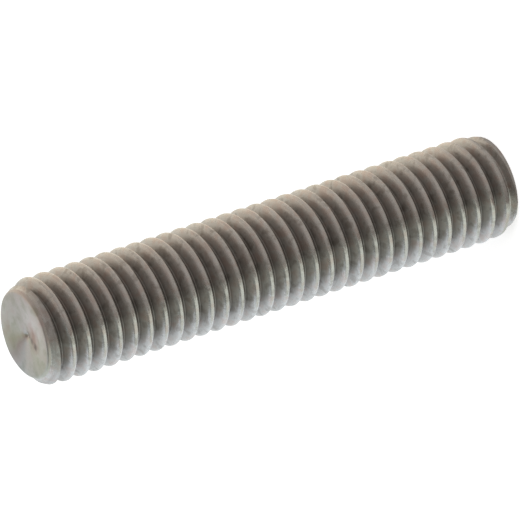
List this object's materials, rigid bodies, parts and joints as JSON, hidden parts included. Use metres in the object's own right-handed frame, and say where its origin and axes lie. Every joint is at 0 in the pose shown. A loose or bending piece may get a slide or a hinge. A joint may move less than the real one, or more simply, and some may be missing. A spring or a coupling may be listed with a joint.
{
  "type": "stud bolt",
  "caption": "Headless steel bar with a right-hand metric thread from end to end, chamfered at both ends, for joining two parts or taking a nut at each end.",
  "frame": {"origin": "centre of the flat foot end, on the surface that the stud stands on", "axes": "+Z along the bar's axis, up to the dished top end; X and Y across it"},
  "size_m": [0.0078, 0.0078, 0.0392],
  "materials": {
    "steel": "rolled thread, dull warm grey with bright worn crests"
  },
  "bodies": {
    "root": {"stud": "steel"}
  },
  "joints": []
}
